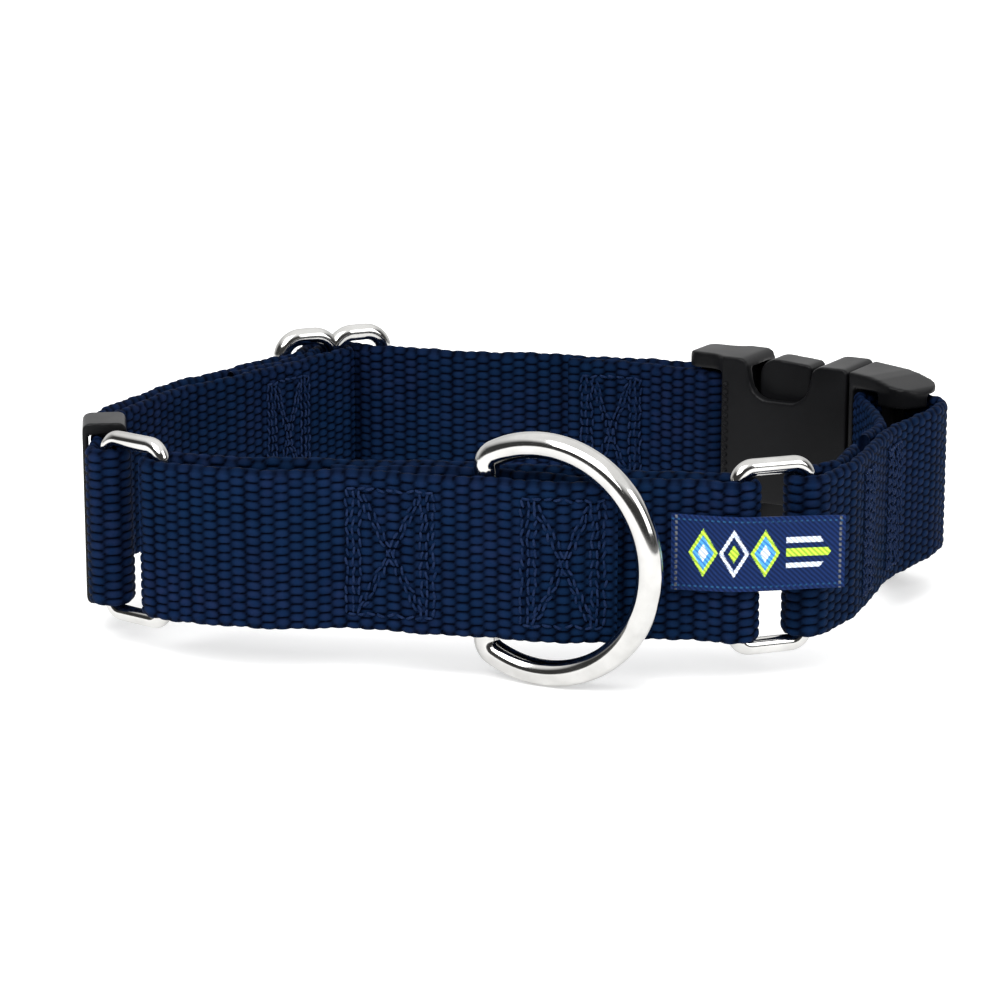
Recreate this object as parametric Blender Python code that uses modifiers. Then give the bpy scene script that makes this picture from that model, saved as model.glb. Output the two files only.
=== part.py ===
"""Martingale dog collar, 25 mm webbing, standing on its D-ring and hardware as it is displayed.

A neck strap runs from the buckle, through the metal slide, round the left ring and back to the
slide. A short buckle strap joins the buckle to the right ring. The control loop passes through both
rings and carries the leash D-ring. Metres, +Z up; the webbing stands on edge, the neck opening is
along Z, the control loop and its D-ring face -Y.
"""

import math

import bmesh
import bpy
from mathutils import Matrix, Vector

# ---------------------------------------------------------------- driving dimensions
WEB_WIDTH = 0.0248
WEB_THICK = 0.0020
TOUCH_GAP = 0.0003

RING_WIRE = 0.0026
RING_HEIGHT = 0.0303
RING_CORNER = 0.0019

SLIDE_WIRE = 0.0030
SLIDE_PITCH = 0.0096
SLIDE_HEIGHT = 0.0322
SLIDE_CORNER = 0.0030
SLIDE_ANGLE = math.radians(24)

DRING_WIRE = 0.0040
DRING_RADIUS = 0.0175
DRING_OFFSET = 0.0095
DRING_CORNER = 0.0026
DRING_ANGLE = math.radians(-27)

KEEPER_LENGTH = 0.0086
KEEPER_WALL = 0.0009
KEEPER_INSIDE = 0.0051
KEEPER_RIM = 0.0019

BUCKLE_ANGLE = math.radians(-30)
BUCKLE_HALF_WIDTH = 0.0157
BUCKLE_HALF_THICK = 0.0055
BUCKLE_WALL = 0.0017
BUCKLE_BAR = 0.0014
BUCKLE_SLOT_END = 0.0077
BAR_SETBACK = 0.0032
FEMALE_START = 0.0003
FEMALE_RIM_THICK = 0.0042
MOUTH = 0.0310
RAIL_INSIDE = 0.0130
MALE_ANGLE = math.radians(-52)
MALE_BAR = 0.0079
MALE_SLOT = 0.0034
MALE_END = 0.0154
MALE_GUARD = 0.0109
PRONG_ROOT = 0.0280

LABEL_HEIGHT = 0.0116
LABEL_THICK = 0.0006
LABEL_RISE = 0.0017

STITCH_HEIGHT = 0.0200
STITCH_THICK = 0.0004

MID = DRING_RADIUS + DRING_WIRE / 2

# Plan positions are laid out from the middle of the collar's front; these two lengths move the
# finished collar so that the origin is the middle of its footprint.
CENTRE_X = 0.00362
CENTRE_Y = 0.05028

# Bars that the webbing turns round, in plan
LEFT_RING_BACK = Vector((-0.0605, 0.0242))
LEFT_RING_FRONT = Vector((-0.0516, 0.0171))
RIGHT_RING_LEFT = Vector((0.0353, 0.0032))
RIGHT_RING_RIGHT = Vector((0.0460, 0.0071))
DRING_BAR = Vector((-0.0020, 0.0069))
SLIDE_CENTRE = Vector((-0.0294, 0.1018))
BUCKLE_PLACE = Vector((0.0334, 0.0860))
KEEPER_CENTRE = Vector((-0.0622, 0.0346))
KEEPER_ANGLE = math.radians(96.2)

# Radii of the webbing's middle line round each kind of bar
RING_TURN = RING_WIRE / 2 + TOUCH_GAP + WEB_THICK / 2
SLIDE_TURN = SLIDE_WIRE / 2 + TOUCH_GAP + WEB_THICK / 2
SLIDE_OVER = SLIDE_TURN + TOUCH_GAP + WEB_THICK
BUCKLE_TURN = 0.0031
LAYER_STEP = WEB_THICK + TOUCH_GAP

NAVY = (0.012, 0.030, 0.085)
THREAD = (0.010, 0.024, 0.070)
STEEL = (0.78, 0.77, 0.74)
BLACK = (0.014, 0.014, 0.016)
LABEL_BLUE = (0.015, 0.045, 0.160)


def heading(angle):
    """Unit direction in plan."""
    return Vector((math.cos(angle), math.sin(angle)))


def left_of(direction):
    return Vector((-direction.y, direction.x))


SLIDE_ALONG = heading(SLIDE_ANGLE)
SLIDE_LEFT = SLIDE_CENTRE - SLIDE_ALONG * SLIDE_PITCH
SLIDE_RIGHT = SLIDE_CENTRE + SLIDE_ALONG * SLIDE_PITCH
FEMALE_BAR = BUCKLE_PLACE + heading(BUCKLE_ANGLE) * BAR_SETBACK
MOUTH_PLACE = BUCKLE_PLACE + heading(BUCKLE_ANGLE) * MOUTH
MALE_BAR_PLACE = MOUTH_PLACE + heading(MALE_ANGLE) * MALE_BAR

# ---------------------------------------------------------------- routes of the webbing
# A stop is (point, radius, turn): turn +1 or -1 wraps a bar counterclockwise or clockwise with the
# webbing's middle line at that radius; turn 0 is a bend rounded to that radius.


def neck_strap_stops():
    """Sewn end at the slide, left ring, slide again, buckle bar, sewn end."""
    return [
        (Vector((-0.0457, 0.0795)), 0, 0),
        (Vector((-0.0424, 0.0842)), 0.030, 0),
        (SLIDE_LEFT, SLIDE_TURN + LAYER_STEP, 1),
        (SLIDE_CENTRE, SLIDE_TURN, -1),
        (SLIDE_LEFT, SLIDE_TURN + 2 * LAYER_STEP, -1),
        (Vector((-0.0405, 0.0828)), 0.030, 0),
        (Vector((-0.0440, 0.0774)), 0.020, 0),
        (Vector((-0.0529, 0.0688)), 0.040, 0),
        (Vector((-0.0624, 0.0485)), 0.012, 0),
        (Vector((-0.06045, 0.0293)), 0.004, 0),
        (Vector((-0.0579, 0.0262)), 0.003, 0),
        (LEFT_RING_BACK, RING_TURN, -1),
        (Vector((-0.0631, 0.0262)), 0.004, 0),
        (Vector((-0.0628, 0.0293)), 0.006, 0),
        (Vector((-0.0650, 0.0490)), 0.013, 0),
        (Vector((-0.0555, 0.0706)), 0.050, 0),
        (Vector((-0.0443, 0.0857)), 0.030, 0),
        (SLIDE_LEFT, SLIDE_TURN, 1),
        (SLIDE_CENTRE, SLIDE_OVER, -1),
        (SLIDE_RIGHT, SLIDE_TURN, 1),
        (Vector((-0.0110, 0.0990)), 0.020, 0),
        (Vector((0.0100, 0.0953)), 0.060, 0),
        (FEMALE_BAR, BUCKLE_TURN, -1),
        (Vector((0.0250, 0.0879)), 0.010, 0),
        (Vector((0.0120, 0.0917)), 0, 0),
    ]


def buckle_strap_stops():
    """Sewn end, right ring, outside the male half to its bar near the mouth, sewn end."""
    return [
        (Vector((0.0549, 0.0256)), 0, 0),
        (Vector((0.0511, 0.0147)), 0.007, 0),
        (RIGHT_RING_RIGHT, RING_TURN, 1),
        (Vector((0.0535, 0.0138)), 0.009, 0),
        (Vector((0.0608, 0.0355)), 0.060, 0),
        (Vector((0.0634, 0.0410)), 0.030, 0),
        (Vector((0.0703, 0.0513)), 0.020, 0),
        (Vector((0.0729, 0.0589)), 0.0048, 0),
        (MALE_BAR_PLACE, BUCKLE_TURN, 1),
        (Vector((0.0591, 0.0635)), 0.003, 0),
        (Vector((0.0600, 0.0561)), 0.030, 0),
        (Vector((0.0605, 0.0493)), 0.030, 0),
        (Vector((0.0609, 0.0415)), 0.020, 0),
        (Vector((0.0585, 0.0362)), 0.030, 0),
        (Vector((0.05695, 0.0316)), 0, 0),
    ]


def control_loop_stops():
    """Under layer behind the D-ring bar, right ring, inner half, left ring, top layer."""
    under = DRING_WIRE / 2 + TOUCH_GAP + WEB_THICK / 2
    return [
        (Vector((-0.0255, 0.0117)), 0, 0),
        (DRING_BAR, under, -1),
        (Vector((0.0120, 0.0038)), 0.010, 0),
        (Vector((0.0250, 0.0030)), 0.030, 0),
        (RIGHT_RING_LEFT, RING_TURN, 1),
        (Vector((0.0280, 0.0066)), 0.012, 0),
        (Vector((-0.0010, 0.0131)), 0.060, 0),
        (Vector((-0.0380, 0.0168)), 0.060, 0),
        (LEFT_RING_FRONT, RING_TURN, 1),
        (Vector((-0.0450, 0.0108)), 0.012, 0),
        (Vector((-0.0370, 0.0086)), 0.030, 0),
        (Vector((-0.0225, 0.0091)), 0.040, 0),
        (DRING_BAR, under, 1),
        (Vector((0.0070, 0.0014)), 0.012, 0),
        (Vector((0.0175, 0.0007)), 0, 0),
    ]


def tangent_line(centre_a, signed_a, centre_b, signed_b):
    """Straight run between two circles; a circle on the left of travel has a positive radius."""
    across = centre_b - centre_a
    lean = math.asin((signed_b - signed_a) / across.length)
    direction = heading(math.atan2(across.y, across.x) - lean)
    normal = left_of(direction)
    return centre_a - normal * signed_a, centre_b - normal * signed_b


def arc_points(centre, start, end, turn, step):
    """Points of an arc from start to end, both included."""
    first = math.atan2(start.y - centre.y, start.x - centre.x)
    last = math.atan2(end.y - centre.y, end.x - centre.x)
    sweep = (last - first) * turn % (2 * math.pi)
    count = max(1, math.ceil(sweep / step))
    radius = (start - centre).length
    return [centre + heading(first + turn * sweep * i / count) * radius for i in range(count + 1)]


def bend_points(before, corner, after, radius, step):
    """A corner between two straight runs, rounded to the radius."""
    arriving = (corner - before).normalized()
    leaving = (after - corner).normalized()
    turn = arriving.x * leaving.y - arriving.y * leaving.x
    angle = math.acos(max(-1.0, min(1.0, arriving.dot(leaving))))
    if radius == 0 or angle < math.radians(0.5):
        return [corner]
    cut = radius * math.tan(angle / 2)
    cut = min(cut, 0.48 * (corner - before).length, 0.48 * (after - corner).length)
    radius = cut / math.tan(angle / 2)
    side = 1 if turn > 0 else -1
    start = corner - arriving * cut
    centre = start + left_of(arriving) * radius * side
    return arc_points(centre, start, corner + leaving * cut, side, step)


def route(stops, step=math.radians(15)):
    """Middle line through the stops as a list of plan points."""
    runs = []
    for (a, ra, ta), (b, rb, tb) in zip(stops, stops[1:]):
        runs.append(tangent_line(a, ra * ta, b, rb * tb))
    points = [stops[0][0]]
    for i, (place, radius, turn) in enumerate(stops[1:-1], start=1):
        start, end = runs[i - 1][1], runs[i][0]
        if turn:
            points += arc_points(place, start, end, turn, step)
        else:
            points += bend_points(runs[i - 1][0], place, runs[i][1], radius, step)
    points.append(stops[-1][0])
    return points


def section(points, start, end):
    """The stretch of a polyline between two distances along it."""
    out, walked = [], 0.0
    for a, b in zip(points, points[1:]):
        length = (b - a).length
        if walked + length > start and walked < end:
            if not out:
                out.append(a.lerp(b, max(0.0, (start - walked) / length)))
            out.append(a.lerp(b, min(1.0, (end - walked) / length)))
        walked += length
    return out


def place_along(points, place):
    """Distance along the polyline of its nearest point to a place."""
    best, walked = (1.0, 0.0), 0.0
    for a, b in zip(points, points[1:]):
        along = b - a
        share = max(0.0, min(1.0, (place - a).dot(along) / along.length_squared))
        best = min(best, ((a + along * share - place).length, walked + along.length * share))
        walked += along.length
    return best[1]


def offset(points, distance):
    """The polyline moved to its left by a distance."""
    out = []
    for i, point in enumerate(points):
        before = points[max(0, i - 1)]
        after = points[min(len(points) - 1, i + 1)]
        out.append(point + left_of((after - before).normalized()) * distance)
    return out


def length_of(points):
    return sum((b - a).length for a, b in zip(points, points[1:]))


# ---------------------------------------------------------------- scene helpers
def start_scene():
    for item in list(bpy.data.objects):
        bpy.data.objects.remove(item, do_unlink=True)
    made = []
    for name in ("martingale_collar", "cutters"):
        group = bpy.data.collections.new(name)
        bpy.context.scene.collection.children.link(group)
        made.append(group)
    return made


PARTS, CUTTERS = start_scene()


def material(name, colour, roughness, metallic):
    shade = bpy.data.materials.new(name)
    shade.use_nodes = True
    shader = shade.node_tree.nodes["Principled BSDF"]
    shader.inputs["Base Color"].default_value = (*colour, 1)
    shader.inputs["Roughness"].default_value = roughness
    shader.inputs["Metallic"].default_value = metallic
    return shade


def add_object(name, data, shade, group=None):
    item = bpy.data.objects.new(name, data)
    (group or PARTS).objects.link(item)
    if shade:
        data.materials.append(shade)
    return item


def in_frame(place):
    """Plan position to the part's own frame."""
    return Vector((place.x - CENTRE_X, place.y - CENTRE_Y))


def upright_frame(place, angle):
    """Local X along the heading, local Y up, local Z towards the neck."""
    along = heading(angle)
    spot = in_frame(place)
    matrix = Matrix.Identity(4)
    matrix.col[0] = (along.x, along.y, 0, 0)
    matrix.col[1] = (0, 0, 1, 0)
    matrix.col[2] = (along.y, -along.x, 0, 0)
    matrix.col[3] = (spot.x, spot.y, MID, 1)
    return matrix


def smooth(item, angle=35):
    mesh = item.data
    mesh.shade_smooth()
    mesh.set_sharp_from_angle(angle=math.radians(angle))


def to_mesh(curve_item, name, shade):
    """A closed mesh object from a curve object, which is removed."""
    bpy.context.view_layer.update()
    evaluated = curve_item.evaluated_get(bpy.context.evaluated_depsgraph_get())
    mesh = bpy.data.meshes.new_from_object(evaluated)
    bm = bmesh.new()
    bm.from_mesh(mesh)
    bmesh.ops.remove_doubles(bm, verts=bm.verts, dist=0.000002)
    bm.to_mesh(mesh)
    bm.free()
    mesh.name = name
    matrix = curve_item.matrix_world.copy()
    bpy.data.objects.remove(curve_item, do_unlink=True)
    mesh.materials.clear()
    item = add_object(name, mesh, shade)
    item.matrix_world = matrix
    return item


def poly_curve(name, contours, cyclic):
    curve = bpy.data.curves.new(name, "CURVE")
    for contour in contours:
        spline = curve.splines.new("POLY")
        spline.points.add(len(contour) - 1)
        for point, place in zip(spline.points, contour):
            point.co = (*place.to_3d(), 1)
        spline.use_cyclic_u = cyclic
    return curve


def ribbon(name, points, width, thick, shade):
    """Webbing on edge: the plan line raised to a strip and thickened both ways."""
    mesh = bpy.data.meshes.new(name)
    bm = bmesh.new()
    verts = [bm.verts.new((*in_frame(p), MID - width / 2)) for p in points]
    edges = [bm.edges.new(pair) for pair in zip(verts, verts[1:])]
    raised = bmesh.ops.extrude_edge_only(bm, edges=edges)["geom"]
    top = [v for v in raised if isinstance(v, bmesh.types.BMVert)]
    bmesh.ops.translate(bm, verts=top, vec=(0, 0, width))
    bm.to_mesh(mesh)
    bm.free()
    item = add_object(name, mesh, shade)
    shell = item.modifiers.new("thickness", "SOLIDIFY")
    shell.thickness = thick
    shell.offset = 0
    shell.use_even_offset = True
    return item


def wire(name, points, radius, shade, cyclic=True, matrix=None):
    """Round wire along a line given in a local X, Y plane."""
    curve = poly_curve(name, [points], cyclic)
    curve.dimensions = "3D"
    curve.bevel_depth = radius
    curve.bevel_resolution = 3
    curve.use_fill_caps = not cyclic
    item = add_object(name, curve, shade)
    if matrix:
        item.matrix_world = matrix
    return item


def outline(corners, step=math.radians(15)):
    """Closed outline with rounded corners (x, y, radius)."""
    places = [Vector((x, y)) for x, y, _ in corners]
    points = []
    for i, (_, _, radius) in enumerate(corners):
        after = places[(i + 1) % len(places)]
        points += bend_points(places[i - 1], places[i], after, radius, step)
    return points


def mirrored(corners):
    """Corners above the middle line, followed by their reflections below it."""
    return corners + [(x, -y, r) for x, y, r in reversed(corners)]


def plate(name, contours, thick, shade, matrix, edge=0.0, segments=3):
    """Flat outline extruded to a thickness, its long edges rounded."""
    curve = poly_curve(name, contours, True)
    curve.dimensions = "2D"
    curve.fill_mode = "BOTH"
    curve.extrude = thick / 2
    item = to_mesh(add_object(name + "_outline", curve, None), name, shade)
    item.matrix_world = matrix
    if edge:
        rounding = item.modifiers.new("edges", "BEVEL")
        rounding.width = edge
        rounding.segments = segments
        rounding.limit_method = "ANGLE"
        rounding.angle_limit = math.radians(50)
    return item


def cutter_box(name, low, high, matrix):
    """A box between two corners of a local frame, kept out of the model."""
    mesh = bpy.data.meshes.new(name)
    bm = bmesh.new()
    bmesh.ops.create_cube(bm, size=1)
    size = Vector(high) - Vector(low)
    middle = (Vector(high) + Vector(low)) / 2
    bmesh.ops.transform(bm, matrix=Matrix.Diagonal((*size, 1)), verts=bm.verts)
    bmesh.ops.translate(bm, verts=bm.verts, vec=middle)
    bm.to_mesh(mesh)
    bm.free()
    item = add_object(name, mesh, None, CUTTERS)
    item.matrix_world = matrix
    item.hide_render = True
    item.display_type = "WIRE"
    return item


def boolean(item, tool, operation="DIFFERENCE"):
    step = item.modifiers.new(tool.name, "BOOLEAN")
    step.operation = operation
    step.solver = "EXACT"
    step.object = tool


def as_tool(item):
    """Move a piece that is joined into another out of the model's own collection."""
    PARTS.objects.unlink(item)
    CUTTERS.objects.link(item)
    item.hide_render = True
    item.display_type = "WIRE"
    return item


# ---------------------------------------------------------------- webbing and stitching
def make_webbing(shade, thread):
    neck = route(neck_strap_stops())
    short = route(buckle_strap_stops())
    loop = route(control_loop_stops())
    ribbon("neck_strap", neck, WEB_WIDTH, WEB_THICK, shade)
    ribbon("buckle_strap", short, WEB_WIDTH, WEB_THICK, shade)
    ribbon("control_loop", loop, WEB_WIDTH, WEB_THICK, shade)

    proud = WEB_THICK / 2 + TOUCH_GAP + STITCH_THICK / 2
    fields = (
        ("loop_left_stitching", loop, (-0.0233, 0.0091), (-0.0092, 0.0056), -proud),
        ("loop_right_stitching", loop, (0.0030, 0.0020), (0.0160, 0.0008), -proud),
        ("slide_end_stitching", neck, (-0.0345, 0.0920), (-0.0408, 0.0824), proud),
        ("buckle_end_stitching", neck, (0.0250, 0.0879), (0.0140, 0.0911), proud),
        ("ring_end_stitching", short, (0.0547, 0.0175), (0.0571, 0.0245), -proud),
        ("buckle_strap_stitching", short, (0.0600, 0.0330), (0.0630, 0.0402), -proud),
    )
    for name, line, first, last, side in fields:
        start, end = place_along(line, Vector(first)), place_along(line, Vector(last))
        ribbon(name, offset(section(line, start, end), side), STITCH_HEIGHT, STITCH_THICK, thread)


def label_stops():
    """Sewn to the control loop at its left end, passing in front of the right ring."""
    return [
        (Vector((0.0255, 0.0012)), 0, 0),
        (Vector((0.0350, -0.0013)), 0.012, 0),
        (Vector((0.0512, 0.0006)), 0, 0),
    ]


def make_label(shade):
    item = ribbon("woven_label", route(label_stops()), LABEL_HEIGHT, LABEL_THICK, shade)
    item.location.z = LABEL_RISE


# ---------------------------------------------------------------- metal hardware
def make_ring(name, bar_a, bar_b, shade):
    """Rectangular wire ring; its origin is on the first bar."""
    across = bar_b - bar_a
    half = (RING_HEIGHT - RING_WIRE) / 2
    corners = mirrored([(0, half, RING_CORNER), (across.length, half, RING_CORNER)][::-1])
    matrix = upright_frame(bar_a, math.atan2(across.y, across.x))
    wire(name, outline(corners), RING_WIRE / 2, shade, matrix=matrix)


def make_slide(shade):
    """Two wire loops side by side on one middle bar."""
    half = (SLIDE_HEIGHT - SLIDE_WIRE) / 2
    matrix = upright_frame(SLIDE_CENTRE, SLIDE_ANGLE)
    left = [(0, half, SLIDE_CORNER), (-SLIDE_PITCH, half, SLIDE_CORNER)]
    first = wire("slide_loop", outline(mirrored(left)), SLIDE_WIRE / 2, shade, matrix=matrix)
    body = to_mesh(first, "slide", shade)
    right = mirrored([(0, half, SLIDE_CORNER), (SLIDE_PITCH, half, SLIDE_CORNER)])
    bend = outline(right)
    low_end = Vector((0, -half + 2 * SLIDE_CORNER))
    high_end = Vector((0, half - 2 * SLIDE_CORNER))
    bow = wire("slide_bow", [high_end, *bend, low_end], SLIDE_WIRE / 2 - 0.00005, shade,
               cyclic=False, matrix=matrix)
    boolean(body, as_tool(to_mesh(bow, "slide_bow", shade)), "UNION")


def make_dring(shade):
    """Round wire bent to a D on a straight bar; its origin is on the bar."""
    inner = DRING_RADIUS - DRING_CORNER
    rise = math.sqrt(inner ** 2 - (DRING_OFFSET - DRING_CORNER) ** 2)
    swing = math.atan2(rise, DRING_CORNER - DRING_OFFSET)
    points = []
    for i in range(5):
        angle = math.pi + (swing - math.pi) * i / 4
        points.append(Vector((DRING_CORNER, rise)) + heading(angle) * DRING_CORNER)
    for i in range(1, 24):
        angle = swing - 2 * swing * i / 24
        points.append(Vector((DRING_OFFSET, 0)) + heading(angle) * DRING_RADIUS)
    for i in range(5):
        angle = -swing - (math.pi - swing) * i / 4
        points.append(Vector((DRING_CORNER, -rise)) + heading(angle) * DRING_CORNER)
    matrix = upright_frame(DRING_BAR, DRING_ANGLE)
    wire("d_ring", points, DRING_WIRE / 2, shade, matrix=matrix)


# ---------------------------------------------------------------- plastic hardware
def make_keeper(shade):
    """Rectangular sleeve round both layers of the neck strap."""
    half_out = KEEPER_INSIDE / 2 + KEEPER_WALL
    half_in = KEEPER_INSIDE / 2
    rise_in = WEB_WIDTH / 2 + TOUCH_GAP
    rise_out = rise_in + KEEPER_RIM
    sleeve = outline(mirrored([(half_out, rise_out, 0.0012), (-half_out, rise_out, 0.0012)]))
    window = outline(mirrored([(half_in, rise_in, 0.0003), (-half_in, rise_in, 0.0003)]))
    matrix = upright_frame(KEEPER_CENTRE, KEEPER_ANGLE + math.pi / 2)
    plate("keeper", [sleeve, window], KEEPER_LENGTH, shade, matrix, edge=0.0003, segments=2)


def side_profile(name, corners, matrix):
    """A part's side view, thickness against length, extruded across its whole width."""
    turned = matrix @ Matrix.Rotation(math.pi / 2, 4, "X")
    return as_tool(plate(name, [outline(mirrored(corners))], 0.06, None, turned))


def make_female(shade):
    """Buckle shell with webbing bar, side windows and a hollow for the prongs."""
    matrix = upright_frame(BUCKLE_PLACE, BUCKLE_ANGLE)
    wide, thick, rail = BUCKLE_HALF_WIDTH, BUCKLE_HALF_THICK, RAIL_INSIDE
    corners = mirrored([
        (FEMALE_START, rail, 0.0006), (FEMALE_START, wide, 0.0024),
        (0.0125, wide, 0.0016), (0.0134, 0.0089, 0.0046),
        (0.0236, 0.0089, 0.0046), (0.0246, wide, 0.0022), (MOUTH, wide, 0.0010),
    ])
    bar_start, bar_end = BAR_SETBACK - BUCKLE_BAR, BAR_SETBACK + BUCKLE_BAR
    corners = [(bar_start, -rail, 0.0003), (bar_start, rail, 0.0003)] + corners
    body = plate("buckle_female", [outline(corners)], 2 * thick, shade, matrix, edge=0.0019)
    slim = FEMALE_RIM_THICK
    boolean(body, side_profile("shell_profile", [
        (MOUTH + 0.001, thick + 0.001, 0), (0.0095, thick + 0.001, 0.004), (0.0062, slim, 0.004),
        (FEMALE_START, slim, 0.0030),
    ], matrix), "INTERSECT")
    slot = cutter_box("webbing_slot", (bar_end, -rail, -0.01),
                      (BUCKLE_SLOT_END, rail, 0.01), matrix)
    boolean(body, slot)
    for side, low, high in (("near", BUCKLE_BAR, 0.01), ("far", -0.01, -BUCKLE_BAR)):
        recess = cutter_box("bar_recess_" + side, (-0.01, -rail, low),
                            (BUCKLE_SLOT_END, rail, high), matrix)
        boolean(body, recess)
    hollow_half = wide - BUCKLE_WALL
    hollow = cutter_box("prong_hollow", (BUCKLE_SLOT_END + 0.002, -hollow_half, -0.0036),
                        (0.05, hollow_half, 0.0036), matrix)
    boolean(body, hollow)


def make_male(shade):
    """Male half: webbing bar between two rounded rails, and the guide tongue in the shell."""
    straight = upright_frame(BUCKLE_PLACE, BUCKLE_ANGLE)
    bent = upright_frame(MOUTH_PLACE, MALE_ANGLE)
    corners = mirrored([
        (-0.0060, BUCKLE_HALF_WIDTH - 0.0002, 0), (0.0078, BUCKLE_HALF_WIDTH - 0.0003, 0.0120),
        (MALE_END, 0.0138, 0.0016),
    ])
    body = plate("buckle_male", [outline(corners)], 0.0100, shade, bent, edge=0.0022)
    boolean(body, side_profile("male_profile", [
        (MALE_END - 0.0002, 0.0050, 0.0046), (-0.0120, 0.0060, 0),
    ], bent), "INTERSECT")
    behind = cutter_box("mouth_plane", (-0.03, -0.02, -0.02), (MOUTH + TOUCH_GAP, 0.02, 0.02),
                        straight)
    boolean(body, behind)
    rail = RAIL_INSIDE - 0.0001
    bar_end = MALE_BAR + BUCKLE_BAR
    cuts = (
        ("slot", (MALE_SLOT, -rail, -0.01), (MALE_BAR - BUCKLE_BAR, rail, 0.01)),
        ("recess_near", (MALE_SLOT, -rail, BUCKLE_BAR), (bar_end, rail, 0.01)),
        ("recess_far", (MALE_SLOT, -rail, -0.01), (0.03, rail, -BUCKLE_BAR)),
        ("end_far", (bar_end, -rail, -0.01), (0.03, rail, -0.0008)),
        ("end", (bar_end, -MALE_GUARD, -0.01), (0.03, MALE_GUARD, 0.01)),
    )
    for part, low, high in cuts:
        boolean(body, cutter_box("male_" + part, low, high, bent))
    root = plate("prong_base", [outline(mirrored([(PRONG_ROOT + 0.0006, 0.0134, 0.0006),
                                                  (MOUTH + 0.0016, 0.0134, 0)]))],
                 0.0060, shade, straight)
    tongue = plate("guide_tongue", [outline(mirrored([(0.0125, 0.0030, 0.0014),
                                                      (MOUTH, 0.0030, 0)]))],
                   0.0034, shade, straight)
    boolean(body, as_tool(root), "UNION")
    boolean(body, as_tool(tongue), "UNION")


def make_prong(name, side, shade):
    """Spring arm with its catch in the side window; its origin is at the arm's root."""
    pivot = Vector((PRONG_ROOT, 0.0091 * side))
    corners = [
        (0.0140, 0.0072, 0.0014), (PRONG_ROOT, 0.0076, 0.0012), (PRONG_ROOT, 0.0106, 0.0012),
        (0.0231, 0.0106, 0.0008), (0.0234, 0.0151, 0.0010), (0.0137, 0.0158, 0.0030),
    ]
    if side < 0:
        corners = [(x, -y, r) for x, y, r in reversed(corners)]
    local = [p - pivot for p in outline(corners)]
    matrix = upright_frame(BUCKLE_PLACE, BUCKLE_ANGLE) @ Matrix.Translation(pivot.to_3d())
    plate(name, [local], 0.0058, shade, matrix, edge=0.0009, segments=2)


def main():
    navy = material("navy_webbing", NAVY, 0.8, 0.0)
    thread = material("navy_thread", THREAD, 0.7, 0.0)
    steel = material("nickel", STEEL, 0.12, 1.0)
    plastic = material("black_acetal", BLACK, 0.45, 0.0)
    blue = material("label_satin", LABEL_BLUE, 0.5, 0.0)
    make_webbing(navy, thread)
    make_label(blue)
    make_ring("left_ring", LEFT_RING_BACK, LEFT_RING_FRONT, steel)
    make_ring("right_ring", RIGHT_RING_RIGHT, RIGHT_RING_LEFT, steel)
    make_slide(steel)
    make_dring(steel)
    make_keeper(plastic)
    make_female(plastic)
    make_male(plastic)
    make_prong("upper_prong", 1, plastic)
    make_prong("lower_prong", -1, plastic)
    for item in PARTS.objects:
        if item.type == "MESH":
            smooth(item)


main()
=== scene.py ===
import math

import bpy
import numpy as np
from mathutils import Matrix, Vector


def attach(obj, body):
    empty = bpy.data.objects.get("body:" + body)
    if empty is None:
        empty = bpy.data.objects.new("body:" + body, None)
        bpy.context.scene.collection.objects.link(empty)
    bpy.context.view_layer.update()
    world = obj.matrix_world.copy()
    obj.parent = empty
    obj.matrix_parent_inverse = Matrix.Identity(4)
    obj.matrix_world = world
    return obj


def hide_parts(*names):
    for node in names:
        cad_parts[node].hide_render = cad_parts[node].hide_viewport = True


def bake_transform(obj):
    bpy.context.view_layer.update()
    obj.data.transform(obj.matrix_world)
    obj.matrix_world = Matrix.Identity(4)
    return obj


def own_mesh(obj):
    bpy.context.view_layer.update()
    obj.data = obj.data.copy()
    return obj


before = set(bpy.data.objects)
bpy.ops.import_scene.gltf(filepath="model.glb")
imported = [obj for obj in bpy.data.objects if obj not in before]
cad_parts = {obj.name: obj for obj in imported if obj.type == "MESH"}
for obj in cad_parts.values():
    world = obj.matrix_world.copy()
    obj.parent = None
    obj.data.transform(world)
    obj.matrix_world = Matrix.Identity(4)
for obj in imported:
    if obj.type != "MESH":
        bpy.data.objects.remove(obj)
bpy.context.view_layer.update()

# Martingale collar: woven nylon straps, box-and-cross stitching, satin label, plated wire
# hardware and a side-release buckle. Metres, +Z up, the control loop facing -Y.

# ---------------------------------------------------------------- dimensions
WEB_WIDTH = 0.0248
WEB_THICK = 0.0020
TOUCH_GAP = 0.0003
RING_WIRE = 0.0026
RING_HEIGHT = 0.0303
RING_CORNER = 0.0024
SLIDE_WIRE = 0.0030
SLIDE_PITCH = 0.0096
SLIDE_HEIGHT = 0.0322
SLIDE_CORNER = 0.0036
SLIDE_ANGLE = math.radians(24)
DRING_WIRE = 0.0040
DRING_RADIUS = 0.0175
DRING_OFFSET = 0.0095
DRING_CORNER = 0.0026
DRING_ANGLE = math.radians(-27)
BUCKLE_ANGLE = math.radians(-30)
MOUTH = 0.0310
MALE_ANGLE = math.radians(-52)
MALE_BAR = 0.0079
BAR_SETBACK = 0.0032
BUCKLE_SLOT_END = 0.0077
BUCKLE_HALF_THICK = 0.0055
MID = DRING_RADIUS + DRING_WIRE / 2
CENTRE_X = 0.00362
CENTRE_Y = 0.05028

COLUMN = 0.00216
ROW = 0.00139
SIDE_STEPS = 6
VALLEY = 0.00031
BUMP = 0.00036
BAR_PINCH = 0.00034
PINCH_REACH = 0.0016
LABEL_HEIGHT = 0.0116
LABEL_THICK = 0.0005
LABEL_RISE = 0.0017
LABEL_RELIEF = 0.00009
LABEL_BLUE = (0.0066, 0.0194, 0.0810)

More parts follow.
